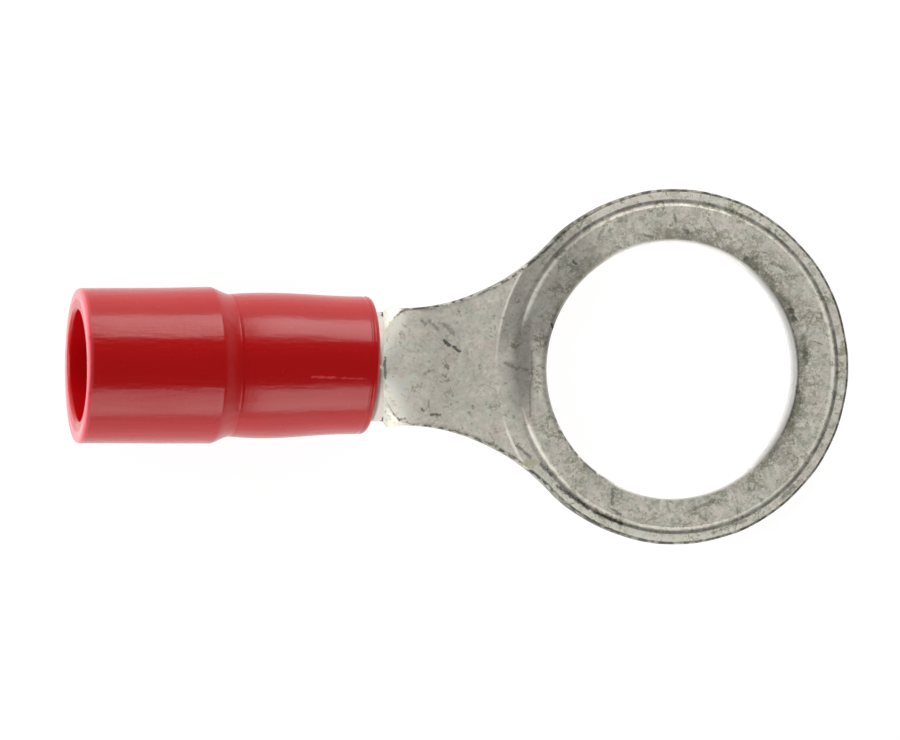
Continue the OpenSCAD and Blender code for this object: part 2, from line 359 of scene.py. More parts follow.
def metal_body():
    """The body's whole surface in the flat blank's space (x, s, h), then rolled up: the ring's
    columns, the strip's loops, which start at the straight line across the neck, and a grid of
    straight rows from side to side that closes the wire end."""
    edge, normal, corner = cut_outline()
    ring, ring_cols, (first_upper, first_cut, first_under) = ring_columns(edge, normal, corner)
    ids = np.arange(ring.shape[0] * ring.shape[1]).reshape(ring.shape[:2])
    face_ids = np.concatenate([ids[:, first_under:], ids[:, :first_cut]], axis=1)
    quads = [grid_quads(face_ids, close_rows=True),
             grid_quads(ids[:ring_cols, first_cut - 1:first_under + 1])]

    strip, side = strip_loops(edge, normal, corner)
    neck_cols = np.concatenate([[ring_cols - 1], np.arange(ring_cols, len(ring)), [0]])
    start = np.concatenate([ids[neck_cols[::-1], first_cut - 1],
                            ids[ring_cols - 1, first_cut:first_under],
                            ids[neck_cols, first_under],
                            ids[0, first_cut:first_under][::-1]])
    strip_ids = ids.size + np.arange(strip.shape[0] * strip.shape[1]).reshape(strip.shape[:2])
    quads.append(grid_quads(np.concatenate([start[None], strip_ids]), close_cols=True))

    right, left = side[-1], side[-1] * [1, -1, 1]
    width = np.linspace(0, 1, ACROSS + 1)[1:-1, None]
    cap = left[:, None, :] + (right - left)[:, None, :] * width
    cap_ids = ids.size + strip_ids.size + np.arange(cap.shape[0] * cap.shape[1])
    cap_ids = cap_ids.reshape(cap.shape[:2])
    n_face, n_cut = ACROSS + 1, first_under - first_cut
    upper, right_side, lower, left_side = np.split(
        strip_ids[-1], [n_face, n_face + n_cut, 2 * n_face + n_cut])
    quads.append(grid_quads(np.concatenate([
        upper[None],
        np.concatenate([left_side[::-1][:, None], cap_ids, right_side[:, None]], axis=1),
        lower[None, ::-1]])))

    blank = np.concatenate([part.reshape(-1, 3) for part in (ring, strip, cap)])
    both = np.concatenate([edge, edge * MIRROR])
    to_edge = np.concatenate([np.sqrt(((part[:, None, :2] - both[None]) ** 2).sum(axis=-1).min(axis=1))
                              for part in np.array_split(blank, 24)])
    ring_cut = np.zeros(ring.shape[:2])
    ring_cut[:, first_cut:first_under] = 1
    ring_cut[:ring_cols, first_cut - 2:first_cut] = (0.35, 0.8)
    strip_cut = np.zeros(strip.shape[:2])
    strip_cut[:, n_face:n_face + n_cut] = 1
    strip_cut[:, 2 * n_face + n_cut:] = 1
    hole_edge = np.zeros(len(blank))
    hole_edge[ids[:, :first_upper]] = 1
    cut_edge = np.concatenate([ring_cut.ravel(), strip_cut.ravel(), np.ones(cap_ids.size)])
    fields = {"to_edge": to_edge, "cut_edge": cut_edge, "hole_edge": hole_edge}
    blank[:, 2] += sheet_sway(blank[:, 0], blank[:, 1]) * smooth(FRONT_X, CURL_X, blank[:, 0])
    return make_piece("terminal_metal", rolled(blank), np.concatenate(quads), "terminal_body",
                      fields)


# ---------------------------------------------------------------- sleeve
def wave(a, b, n, early=1.0):
    """Points of a half cosine wave from a towards b, without the last one. An early power below 1
    makes the wave fall sooner."""
    t = np.linspace(0, 1, n, endpoint=False)
    fall = (1 - np.cos(np.pi * t ** early)) / 2
    return np.stack([a[0] + (b[0] - a[0]) * t, a[1] + (b[1] - a[1]) * fall], axis=1)


def settle(a, b, n):
    """Points of a parabola from a, steep at first and level at b, without the last one."""
    t = np.linspace(0, 1, n, endpoint=False)
    return np.stack([a[0] + (b[0] - a[0]) * t, a[1] + (b[1] - a[1]) * t * (2 - t)], axis=1)


def straight(a, b, n):
    """Evenly spaced points from a towards b, without the last one."""
    t = np.linspace(0, 1, n, endpoint=False)[:, None]
    return np.array(a) + (np.array(b) - np.array(a)) * t


def sleeve_section():
    """Closed half section of the sleeve as (x, radius). Outside: rounded mouth rim, wide part,
    wave down to the waist, long low swell, a small fold and a rounded front. Inside: seat over the
    barrel, end stop, funnel and the wire's bore. Also the number of outside points."""
    outside = np.concatenate([
        arc(MOUTH_X + RIM_R, MOUTH_R - RIM_R, RIM_R, 180, 90, 9),
        straight((MOUTH_X + RIM_R, MOUTH_R), (STEP_X, WIDE_R), 40),
        wave((STEP_X, WIDE_R), (WAIST_X + 0.10, WAIST_R - 0.022), 26, 0.72)[:-3],
        settle((WAIST_X, WAIST_R), (SWELL_X, SWELL_R), 16),
        wave((SWELL_X, SWELL_R), (FOLD_X[0], END_R), 32),
        wave((FOLD_X[0], END_R), (FOLD_X[1], END_R - FOLD_DEPTH), 3),
        wave((FOLD_X[1], END_R - FOLD_DEPTH), (FOLD_X[2], END_R), 3),
        arc(FOLD_X[2], END_R - END_ROUND, END_ROUND, 90, 0, 7),
        straight((END_X, END_R - END_ROUND), (END_X, SEAT_R), 6)])
    inside = np.concatenate([
        straight((END_X, SEAT_R), (WIRE_X, SEAT_R), 18),
        straight((WIRE_X, SEAT_R), (WIRE_X, BORE_R), 5),
        straight((WIRE_X, BORE_R), (WIRE_X - FUNNEL_LEN, MOUTH_BORE_R), 12),
        straight((WIRE_X - FUNNEL_LEN, MOUTH_BORE_R), (MOUTH_X + INNER_RIM_R, MOUTH_BORE_R), 26),
        arc(MOUTH_X + INNER_RIM_R, MOUTH_BORE_R + INNER_RIM_R, INNER_RIM_R, 270, 180, 8),
        straight((MOUTH_X, MOUTH_BORE_R + INNER_RIM_R), (MOUTH_X, MOUTH_R - RIM_R), 5)])
    return np.concatenate([outside, inside]), len(outside)


def sleeve():
    """The half section turned about the barrel's axis. The outside's radius carries slow waves
    round and along, the sleeve lies slightly to one side, and both ends are cut slightly askew."""
    section, n_out = sleeve_section()
    x, r = section[:, 0][None], section[:, 1][None]
    turn = np.arange(AROUND) * 2 * np.pi / AROUND
    a = turn[:, None]
    is_out = np.zeros(len(section))
    is_out[:n_out] = 1
    uneven = (0.010 * np.sin(2 * a + 0.5 * x + 0.8) + 0.006 * np.sin(3 * a - 0.9 * x)
              + 0.004 * np.sin(1.9 * x + a))
    radius = r + is_out * uneven
    y = radius * np.cos(a)
    z = AXIS_Z + radius * np.sin(a)
    near_end = smooth(END_X - 2.5, END_X - 0.2, x)
    near_mouth = 1 - smooth(MOUTH_X + 0.2, MOUTH_X + 3.2, x)
    free = np.maximum(is_out, near_mouth)
    y = y + free * (0.038 + 0.016 * smooth(WAIST_X, END_X - 1, x))
    outer = np.clip((r - MOUTH_BORE_R) / (MOUTH_R - MOUTH_BORE_R), 0, 1)
    cut_back = 0.062 + 0.033 * outer + (0.015 + 0.025 * outer) * (z - AXIS_Z)
    cut_back = cut_back + (0.014 - 0.026 * outer) * y
    x = x + near_end * 0.045 * y - near_mouth * cut_back
    points = np.stack([np.broadcast_to(x, y.shape), y, z], axis=-1)
    ids = np.arange(points.shape[0] * points.shape[1]).reshape(points.shape[:2])
    quads = grid_quads(ids, close_rows=True, close_cols=True)[:, ::-1]
    on_rim = np.abs(section[:, 1] - MOUTH_R + 0.1) < 0.25
    rim = np.exp(-((section[:, 0] - MOUTH_X) / 0.10) ** 2) * on_rim
    fields = {"outside": np.tile(is_out, AROUND), "rim": np.tile(rim, AROUND)}
    return make_piece("vinyl_sleeve", points.reshape(-1, 3), quads, "insulating_sleeve",
                      fields)


# ---------------------------------------------------------------- shader graph helpers
class Graph:
    """Writer of shader nodes: each call adds one node, sets or links its inputs and returns one
    of its outputs."""

    def __init__(self, tree):
        self.tree = tree

    def add(self, kind, inputs=None, out=0, **props):
        node = self.tree.nodes.new(kind)
        for key, value in props.items():
            setattr(node, key, value)
        for key, value in (inputs or {}).items():
            self.put(node.inputs[key], value)
        return node.outputs[out] if len(node.outputs) else node

    def put(self, socket, value):
        if isinstance(value, bpy.types.NodeSocket):
            self.tree.links.new(value, socket)
        else:
            socket.default_value = value

    def calc(self, op, a, b=0.0, c=0.0):
        return self.add("ShaderNodeMath", {0: a, 1: b, 2: c}, operation=op)

    def times(self, *values):
        """Product of the values."""
        return reduce(lambda a, b: self.calc("MULTIPLY", a, b), values)

    def most(self, *values):
        """Largest of the values."""
        return reduce(lambda a, b: self.calc("MAXIMUM", a, b), values)

    def weigh(self, value, weight, base):
        """Value times weight, added to base."""
        return self.calc("MULTIPLY_ADD", value, weight, base)

    def hold(self, value):
        """Value held between 0 and 1. The Math node's own clamp isn't used: the renderer puts it
        off to the end of the graph, and a long graph then has too many values waiting."""
        return self.calc("MINIMUM", self.calc("MAXIMUM", value, 0.0), 1.0)

    def vector(self, op, a, b=(0, 0, 0), out=0, scale=None):
        inputs = {0: a, 1: b} if scale is None else {0: a, 3: scale}
        return self.add("ShaderNodeVectorMath", inputs, out=out, operation=op)

    def step(self, value, lo, hi, to_lo=0.0, to_hi=1.0):
        """Smooth step of value, from to_lo at lo to to_hi at hi."""
        return self.add("ShaderNodeMapRange", {"Value": value, "From Min": lo, "From Max": hi,
                                               "To Min": to_lo, "To Max": to_hi},
                        interpolation_type="SMOOTHSTEP")

    def apart(self, value, middle, none, full):
        """Smooth step of the distance between value and middle: 0 at none and 1 at full."""
        return self.step(self.calc("ABSOLUTE", self.calc("SUBTRACT", value, middle)), none, full)

    def blend(self, share, a, b):
        """Mix of two colours, both held as vectors."""
        return self.add("ShaderNodeMix", {0: share, 4: a, 5: b}, out=1, data_type="VECTOR")

    def noise(self, place, scale, detail=2.0, rough=0.5, stretch=0.0, out="Fac"):
        return self.add("ShaderNodeTexNoise", {"Vector": place, "Scale": scale, "Detail": detail,
                                               "Roughness": rough, "Distortion": stretch}, out=out)


def shader_group(name, inputs, outputs, build):
    """Node group with named inputs (name, kind, default) and outputs (name, kind). build gets the
    graph and the input sockets by name, and returns the output values by name."""
    tree = bpy.data.node_groups.new(name, "ShaderNodeTree")
    for label, kind, default in inputs:
        tree.interface.new_socket(label, in_out="INPUT", socket_type=kind).default_value = default
    for label, kind in outputs:
        tree.interface.new_socket(label, in_out="OUTPUT", socket_type=kind)
    source, sink = tree.nodes.new("NodeGroupInput"), tree.nodes.new("NodeGroupOutput")
    graph = Graph(tree)
    for label, value in build(graph, {s.name: s for s in source.outputs if s.name}).items():
        graph.put(sink.inputs[label], value)
    return tree


def use_group(graph, tree, inputs, out):
    """Places a node group with its own values and gives one of its outputs."""
    node = graph.tree.nodes.new("ShaderNodeGroup")
    node.node_tree = tree
    for key, value in inputs.items():
        graph.put(node.inputs[key], value)
    return node.outputs[out]


def shifted(graph, place, x, y, z):
    """Place moved aside, so that a second pattern doesn't follow the first."""
    return graph.vector("ADD", place, (x, y, z))


FLOAT, VECTOR = "NodeSocketFloat", "NodeSocketVector"
PLACE = ("Place", VECTOR, (0, 0, 0))
MASK = [("Mask", FLOAT)]


def build_clouds(g, i):
    """Blotches of several sizes, 0 to 1 about a middle of 0.5."""
    wide = g.noise(i["Place"], i["Scale"], 3.0, 0.6)
    fine = g.noise(i["Place"], g.times(i["Scale"], 5.3), 4.0, 0.6)
    both = g.weigh(fine, 0.4, g.times(wide, 0.6))
    return {"Value": g.hold(g.weigh(g.calc("SUBTRACT", both, 0.5), i["Contrast"], 0.5))}


def build_specks(g, i):
    """Scattered small ragged spots: fine noise above a threshold that Amount lowers."""
    fine = g.noise(i["Place"], i["Scale"], 3.0, 0.7)
    level = g.weigh(i["Amount"], -0.25, 0.72)
    return {"Mask": g.step(fine, level, g.calc("ADD", level, 0.10))}


def build_strokes(g, i):
    """Thin winding strokes: the places where a bent noise crosses its middle value, broken up by a
    second noise. Cover raises how many show."""
    bent = g.noise(i["Place"], i["Scale"], 4.0, 0.68, 0.25)
    ridge = g.apart(bent, 0.5, i["Width"], g.times(i["Width"], 0.15))
    gate = g.noise(shifted(g, i["Place"], 17, 4, 9), g.times(i["Scale"], 0.7), 3.0, 0.65)
    level = g.weigh(i["Cover"], -0.30, 0.70)
    return {"Mask": g.times(ridge, g.step(gate, level, g.calc("ADD", level, 0.10)))}


def build_scratches(g, i):
    """Thin broken lines along one direction: noise drawn out by Draw, kept where it peaks."""
    turned = g.add("ShaderNodeVectorRotate", {"Vector": i["Place"], "Angle": i["Turn"]},
                   rotation_type="Z_AXIS")
    line = g.noise(g.vector("MULTIPLY", turned, i["Draw"]), i["Scale"], 2.0, 0.6)
    breaks = g.noise(i["Place"], 0.9, 2.0, 0.5)
    return {"Mask": g.times(g.step(line, 0.62, 0.70), g.step(breaks, 0.42, 0.62))}


def build_patch(g, i):
    """Soft ragged oval about Centre in the XY plane, reaching Radii."""
    away = g.vector("MULTIPLY", g.vector("SUBTRACT", i["Place"], i["Centre"]), (1, 1, 0))
    size = g.vector("LENGTH", g.vector("DIVIDE", away, i["Radii"]), out=1)
    ragged = g.calc("SUBTRACT", g.noise(i["Place"], 2.0, 3.0, 0.6), 0.5)
    return {"Mask": g.step(g.weigh(ragged, 0.7, size), 1.0, 0.35)}


def build_mark(g, i):
    """Ragged stroke between two points of the XY plane: 1 near the segment, 0 beyond Width.
    Ragged is a noise value about 0."""
    flat = g.vector("MULTIPLY", i["Place"], (1, 1, 0))
    to_point = g.vector("SUBTRACT", flat, i["From"])
    along = g.vector("SUBTRACT", i["To"], i["From"])
    t = g.hold(g.calc("DIVIDE", g.vector("DOT_PRODUCT", to_point, along, out=1),
                      g.vector("DOT_PRODUCT", along, along, out=1)))
    near = g.vector("SCALE", along, scale=t)
    dist = g.vector("DISTANCE", to_point, near, out=1)
    dist = g.weigh(i["Ragged"], g.times(i["Width"], 3.2), dist)
    return {"Mask": g.step(dist, i["Width"], g.times(i["Width"], 0.3))}


clouds = shader_group("clouds", [PLACE, ("Scale", FLOAT, 1.0), ("Contrast", FLOAT, 1.0)],
                      [("Value", FLOAT)], build_clouds)
specks = shader_group("specks", [PLACE, ("Scale", FLOAT, 8.0), ("Amount", FLOAT, 0.5)], MASK,
                      build_specks)
scratches = shader_group("scratches", [PLACE, ("Turn", FLOAT, 0.0), ("Draw", VECTOR, (1, 8, 1)),
                                       ("Scale", FLOAT, 3.0)], MASK, build_scratches)
strokes = shader_group("strokes", [PLACE, ("Scale", FLOAT, 3.0), ("Width", FLOAT, 0.03),
                                   ("Cover", FLOAT, 0.5)], MASK, build_strokes)
patch = shader_group("patch", [PLACE, ("Centre", VECTOR, (0, 0, 0)), ("Radii", VECTOR, (1, 1, 1))],
                     MASK, build_patch)
mark = shader_group("mark", [PLACE, ("From", VECTOR, (0, 0, 0)), ("To", VECTOR, (1, 0, 0)),
                             ("Width", FLOAT, 0.1), ("Ragged", FLOAT, 0.0)], MASK, build_mark)


def new_material(name):
    """Material with an empty graph, and the graph's writer."""
    material = bpy.data.materials.new(name)
    material.use_nodes = True
    material.node_tree.nodes.clear()
    return material, Graph(material.node_tree)


def place_in_mm(g):
    """Object coordinates in millimetres."""
    here = g.add("ShaderNodeTexCoord", out="Object")
    return g.vector("SCALE", here, scale=1 / MM)


def finish_material(g, inputs):
    """Puts a Principled surface with these inputs on the material."""
    shader = g.add("ShaderNodeBsdfPrincipled", inputs)
    g.add("ShaderNodeOutputMaterial", {"Surface": shader})


def field(g, name):
    """One of the piece's own per-point fields."""
    return g.add("ShaderNodeAttribute", out="Fac", attribute_name=name)


def separate(g, place):
    """X, y and z of a place."""
    parts = g.tree.nodes.new("ShaderNodeSeparateXYZ")
    g.put(parts.inputs[0], place)
    return parts.outputs


def cloud(g, place, scale, contrast):
    """Blotches of one scale and contrast."""
    return use_group(g, clouds, {"Place": place, "Scale": scale, "Contrast": contrast}, "Value")


def oval(g, place, centre, radii):
    """Soft ragged oval in the XY plane."""
    return use_group(g, patch, {"Place": place, "Centre": (*centre, 0), "Radii": (*radii, 1)}, "Mask")


def dim(g, colour, mask, factor):
    """Colour multiplied by factor where mask is 1."""
    level = g.add("ShaderNodeMix", {0: mask, 2: 1.0, 3: factor}, data_type="FLOAT")
    return g.vector("SCALE", colour, scale=level)


METAL_BUMP, VINYL_BUMP = 0.005 * MM, 0.018 * MM     # heights of the finishes' relief, metres
NOTCH_Z = 2.2          # height of the painted shadows on the barrel's cut-back front

# dark marks on the metal's upper side: from, to (millimetres), width, brightness left
MARKS = [
    # neck and curl
    ((-7.65, 0.88), (-7.45, 0.70), 0.068, 0.22), ((-7.30, 0.65), (-7.10, 0.48), 0.068, 0.25),
    ((-8.06, -1.58), (-7.78, -1.58), 0.060, 0.30), ((-8.37, -1.38), (-8.30, -1.45), 0.070, 0.42),
    ((-8.17, -1.12), (-8.15, -1.32), 0.040, 0.66), ((-8.40, 1.52), (-8.26, 1.40), 0.090, 0.60),
    ((-8.12, 1.50), (-7.84, 1.22), 0.090, 0.64), ((-7.62, 1.38), (-7.30, 1.10), 0.090, 0.68),
    ((-8.00, -0.10), (-8.30, -0.22), 0.060, 0.70), ((-7.60, -0.02), (-7.50, -0.06), 0.060, 0.62),
    ((-8.84, 1.93), (-9.10, 1.82), 0.055, 0.36), ((-9.10, 1.82), (-9.40, 1.62), 0.050, 0.45),
    ((-9.66, -1.20), (-9.44, -1.54), 0.042, 0.62), ((-9.44, -1.54), (-9.20, -1.74), 0.055, 0.46),
    # the last stroke here and the first below are painted shadows in the notch corners, the last below
    # painted shade at the barrel's mouth
    ((-9.20, -1.74), (-8.96, -1.70), 0.055, 0.52), ((-9.97, 1.86), (-10.02, 1.68), 0.085, 0.06),
    ((-10.00, -1.66), (-9.97, -1.84), 0.085, 0.06), ((-9.62, 0.30), (-9.63, -0.38), 0.075, 0.34),
    ((-4.00, 1.40), (-3.96, 1.28), 0.060, 0.20),
    # neck's side of the ring
    ((-5.52, 0.10), (-5.20, -0.05), 0.090, 0.60), ((-5.10, -0.02), (-4.86, -0.12), 0.080, 0.70),
    ((-4.69, 0.50), (-4.66, -0.22), 0.052, 0.68), ((-4.66, -0.22), (-4.74, -0.77), 0.048, 0.74),
    ((-4.74, -0.77), (-4.72, -1.65), 0.046, 0.70),
    ((-5.15, -2.62), (-4.70, -2.98), 0.080, 0.45), ((-4.35, -3.22), (-3.98, -3.58), 0.085, 0.40),
    ((-3.78, -3.94), (-2.75, -4.68), 0.080, 0.26), ((-2.55, -4.80), (-1.62, -5.18), 0.070, 0.34),
    ((-3.18, 3.40), (-3.26, 3.46), 0.060, 0.30), ((-3.55, 3.85), (-3.85, 3.62), 0.080, 0.50),
    # lower side
    ((-1.96, -4.05), (-1.95, -4.52), 0.075, 0.50), ((-2.02, -4.68), (-1.68, -4.87), 0.060, 0.48),
    ((-0.10, -4.48), (-0.02, -4.78), 0.060, 0.66), ((0.85, -4.68), (1.50, -4.45), 0.090, 0.58),
    ((3.85, -4.30), (4.22, -3.98), 0.120, 0.55), ((1.45, -5.48), (2.60, -5.08), 0.070, 0.66),
    # upper and right side
    ((-1.78, 3.97), (-1.68, 3.94), 0.060, 0.50), ((-0.90, 4.36), (-0.60, 4.30), 0.080, 0.55),
    ((0.14, 5.02), (0.20, 4.80), 0.060, 0.55), ((0.42, 4.56), (0.62, 4.46), 0.070, 0.55),
    ((1.28, 4.90), (1.62, 4.35), 0.070, 0.60), ((2.55, 3.55), (2.95, 3.62), 0.080, 0.62),
    ((3.45, 3.46), (3.92, 3.20), 0.080, 0.60), ((4.10, 1.88), (4.20, 1.58), 0.130, 0.40),
    ((4.52, 1.00), (4.62, 0.15), 0.120, 0.64), ((4.86, 0.84), (5.18, 0.73), 0.050, 0.55),
    ((4.30, -0.60), (4.42, -1.20), 0.100, 0.66),
]


def metal_places(g):
    """What the metal's colour steps share: the place on the piece, distances from the stud hole's
    edge and from the ring's centre, masks of the ring, of the upper side and of the hole's side
    away from the neck, the piece's own fields, and blotches and grit."""
    here = place_in_mm(g)
    x, y, z = separate(g, here)
    flat = g.vector("MULTIPLY", here, (1, 1, 0))
    off_hole = g.vector("SUBTRACT", flat, (*HOLE_OFF, 0))
    hole_dist = g.vector("LENGTH", off_hole, out=1)
    far_side = g.calc("DIVIDE", g.vector("DOT_PRODUCT", off_hole, (0.94, 0.34, 0), out=1), hole_dist)
    return SimpleNamespace(
        here=here, x=x, y=y, z=z, flat=flat,
        upper=g.step(z, 0.35, 0.55),
        from_hole=g.calc("SUBTRACT", hole_dist, HOLE_R),
        from_ring=g.vector("DISTANCE", flat, (RING_X, 0, 0), out=1),
        far_side=g.step(far_side, -0.1, 0.8),
        on_ring=g.step(x, -5.2, -3.2),
        to_edge=field(g, "to_edge"), cut=field(g, "cut_edge"), hole=field(g, "hole_edge"),
        fine=cloud(g, here, 3.0, 2.6),
        small=cloud(g, shifted(g, here, 9, 2, 6), 1.7, 3.0),
        grit=g.noise(here, 9.0, 2.0, 0.6),
        jagged=g.step(g.noise(here, 5.0, 2.0, 0.6), 0.36, 0.58))


def tin_colour(g, at):
    """Plain tin: warm and greenish blotches, its tone a weighed sum of blotches of three sizes and
    a fine grit."""
    hue = cloud(g, shifted(g, at.here, 31, 7, 3), 1.5, 3.6)
    colour = g.blend(hue, (1.00, 0.905, 0.820), (0.93, 0.940, 0.825))
    tone = 0.46
    for value, weight in ((cloud(g, at.here, 0.7, 2.0), 0.12), (at.fine, 0.22),
                          (at.small, 0.16), (at.grit, 0.32)):
        tone = g.weigh(value, weight, tone)
    return g.vector("SCALE", colour, scale=tone)


def zone_tones(g, at, colour):
    """The lowered rim is lighter, less so towards the tip, and the curl is painted lighter, standing in
    for light thrown back from the barrel's flanks. The neck's side of the ring is darker, out to the
    painted highlight line where the band ends: a zone across it, a wedge towards the neck's upper
    corner and a still darker core."""
    rim_face = g.times(g.step(at.from_ring, BAND_IN[1], BAND_IN[1] + 0.06), at.on_ring,
                       g.step(at.x, 1.5, 4.5, 1.0, 0.35))
    colour = dim(g, colour, g.times(rim_face, at.upper), 1.28)
    ring_way = g.vector("NORMALIZE", g.vector("SUBTRACT", at.flat, (RING_X, 0, 0)))
    wedge = g.weigh(g.calc("SUBTRACT", at.small, 0.5), 0.05,
                    g.vector("DOT_PRODUCT", ring_way, (-0.848, 0.530, 0), out=1))
    wedge = g.step(wedge, 0.86, 0.97)
    across = g.times(g.step(at.x, -4.50, -4.84), g.step(at.y, -2.6, -0.7), g.step(at.y, 4.2, 3.0),
                     g.most(g.step(at.from_ring, 6.0, 5.35), g.step(at.y, -0.2, 1.3)))
    within = g.step(at.from_ring, OUTER_LINE_R + 0.02, OUTER_LINE_R - 0.04)
    shade = g.times(g.most(across, wedge), within, at.upper)
    core = g.times(oval(g, at.here, (-4.96, 0.55), (0.50, 2.3)), at.upper)
    colour = dim(g, dim(g, colour, shade, 0.63), core, 0.74)
    # painted light on the curl, standing in for light thrown back from the barrel's flanks
    return dim(g, colour, g.step(at.x, -7.9, -9.2), 1.27)


def soot_and_spots(g, at, colour):
    """Soot, strokes, blots, dots and grain, thickest at the hole's edge on the side away from the
    neck, and none on the hole's wall. Gives the stained colour and the mask of the spots."""
    off_wall = g.calc("SUBTRACT", 1.0, at.hole)
    patchy = g.step(g.noise(at.here, 1.1, 2.0, 0.5), 0.36, 0.60)
    soot_edge = g.weigh(g.calc("SUBTRACT", at.fine, 0.5), 0.55, at.from_hole)
    soot = g.times(g.step(soot_edge, 0.56, 0.18), g.weigh(at.far_side, 0.85, 0.15),
                   g.weigh(patchy, 0.55, 0.45))
    colour = dim(g, colour, g.times(soot, off_wall), 0.56)

    near = g.times(g.step(at.from_hole, 1.10, 0.0), g.weigh(at.far_side, 0.6, 0.4))
    amount = g.times(g.weigh(near, 0.75, 0.25), g.weigh(patchy, 0.4, 0.6),
                     g.weigh(at.on_ring, 0.55, 0.45))
    cover = g.weigh(amount, 0.75, g.weigh(at.on_ring, 0.14, 0.36))
    thick = use_group(g, strokes, {"Place": at.here, "Scale": 1.9, "Width": 0.060,
                                   "Cover": cover}, "Mask")
    thin = use_group(g, strokes, {"Place": shifted(g, at.here, 3, 8, 1), "Scale": 3.6,
                                  "Width": 0.080, "Cover": cover}, "Mask")
    blots = use_group(g, specks, {"Place": shifted(g, at.here, 5, 11, 2), "Scale": 2.3,
                                  "Amount": g.weigh(amount, 0.55, 0.22)}, "Mask")
    dots = use_group(g, specks, {"Place": shifted(g, at.here, 2, 5, 7), "Scale": 4.6,
                                 "Amount": g.weigh(amount, 0.45, 0.34)}, "Mask")
    grain = g.step(g.noise(shifted(g, at.here, 6, 1, 4), 4.4, 3.0, 0.66), 0.49, 0.60)
    grain = g.times(grain, g.weigh(amount, 0.98, 0.06))
    spots = g.most(g.times(thick, 0.92), g.times(thin, 0.66), grain, g.times(dots, 0.88),
                   g.times(blots, 0.60))
    spots = g.times(spots, off_wall)
    stained = g.vector("MULTIPLY", colour, (0.46, 0.47, 0.38))
    return g.blend(spots, colour, stained), spots


def shoulder_lines(g, at, colour):
    """The pressed shoulder: a painted highlight line on its crest, another where the band ends on the
    neck, and painted shade in the crease at its foot. Crest and crease leave the neck's middle free,
    and the crease fades off the ring."""
    off_middle = g.most(g.step(at.x, -4.0, -3.0), g.apart(at.y, -0.22, 1.55, 1.85))
    # painted highlight along the crest, lighter near the neck's axis and slightly darker far from it
    crest = g.times(g.apart(at.from_ring, BAND_IN[0] + 0.02, 0.085, 0.045), at.upper, off_middle)
    crest_tone = g.step(g.calc("ABSOLUTE", at.y), 1.0, 4.6, 1.32, 0.92)
    crest_tone = g.weigh(g.step(at.x, -3.2, -4.4), 0.24, crest_tone)
    colour = dim(g, colour, crest, crest_tone)
    # painted highlight along the line where the band ends on the neck
    outer_line = g.times(g.apart(at.from_ring, OUTER_LINE_R, 0.075, 0.025), at.upper,
                         g.step(at.x, -4.4, -5.0))
    outer_tone = g.most(g.step(at.y, -0.4, 2.2, 1.05, 1.40), g.step(at.y, -1.7, -2.2, 1.0, 1.30))
    colour = dim(g, colour, outer_line, outer_tone)
    broken = g.step(g.noise(at.here, 2.1, 3.0, 0.6), 0.34, 0.62)
    faded = g.weigh(g.calc("SUBTRACT", 1.0, at.on_ring), -0.75, 1.0)
    # painted shade in the crease at the band's foot
    foot = g.times(g.apart(at.from_ring, CREASE_R, 0.075, 0.030), g.weigh(broken, 0.35, 0.65),
                   faded, at.upper, off_middle)
    return dim(g, colour, foot, 0.30)


def edge_darkening(g, at):
    """Mask of the darkening along the outline's upper edge and on the cut wall, more on the ring."""
    rim = g.times(g.step(at.to_edge, 0.105, 0.045), g.weigh(at.jagged, 0.6, 0.4), at.upper)
    wall = g.weigh(at.on_ring, 0.45, g.weigh(at.jagged, 0.35, 0.2))
    return g.most(rim, g.times(at.cut, wall))


def hole_lines(g, at, colour):
    """The stud hole's edge: a dark line on the far side and on the neck's side, a jagged one on
    the neck's lower side, a painted pale reflection on the far side's wall with painted shade
    towards its top, and a painted highlight on the edges at both ends along Y."""
    far_line = g.times(g.apart(at.from_hole, 0.105, 0.060, 0.025), g.step(at.x, 3.4, 4.0))
    near_line = g.times(g.step(at.from_hole, 0.25, 0.10), g.step(at.x, -3.5, -4.0))
    low_line = g.times(g.step(at.from_hole, 0.12, 0.06), at.jagged, g.step(at.x, -1.4, -2.2),
                       g.step(at.y, -1.0, -1.8))
    line = g.most(g.times(near_line, 0.5), low_line, g.times(far_line, 0.6))
    colour = dim(g, colour, line, 0.28)
    # painted reflection: the far side's wall pale, then painted shade towards its top
    far_wall = g.times(at.hole, g.step(at.x, 1.8, 3.4))
    colour = g.blend(g.times(far_wall, 0.5), colour, (0.86, 0.88, 0.90))
    colour = dim(g, colour, g.times(far_wall, g.step(at.z, 0.25, 0.72)), 0.64)
    # painted highlight on the hole's rolled edge at both ends along Y
    roll_highlight = g.times(g.step(at.from_hole, 0.15, 0.08), g.step(g.calc("ABSOLUTE", at.y), 2.6, 3.8),
                   g.step(at.x, -2.6, -1.4))
    return g.blend(g.times(roll_highlight, 0.8), colour, (1.0, 0.98, 0.95))


def collar(g, at, colour):
    """The barrel's front, next to the sleeve, is painted darker and warmer as shade and the red
    sleeve's reflection, with a painted contact shadow where it enters.
    """
    # painted shade and reflection of the red sleeve on the barrel's front
    beside = g.step(at.x, -9.85, -10.15)
    colour = g.blend(g.times(beside, 0.70), colour, (0.60, 0.55, 0.50))
    # painted contact shadow where the barrel enters the sleeve
    entry = g.step(at.x, sleeve_hi[0] + 0.16, sleeve_hi[0] + 0.05)
    return g.blend(g.times(entry, 0.8), colour, (0.16, 0.11, 0.08))


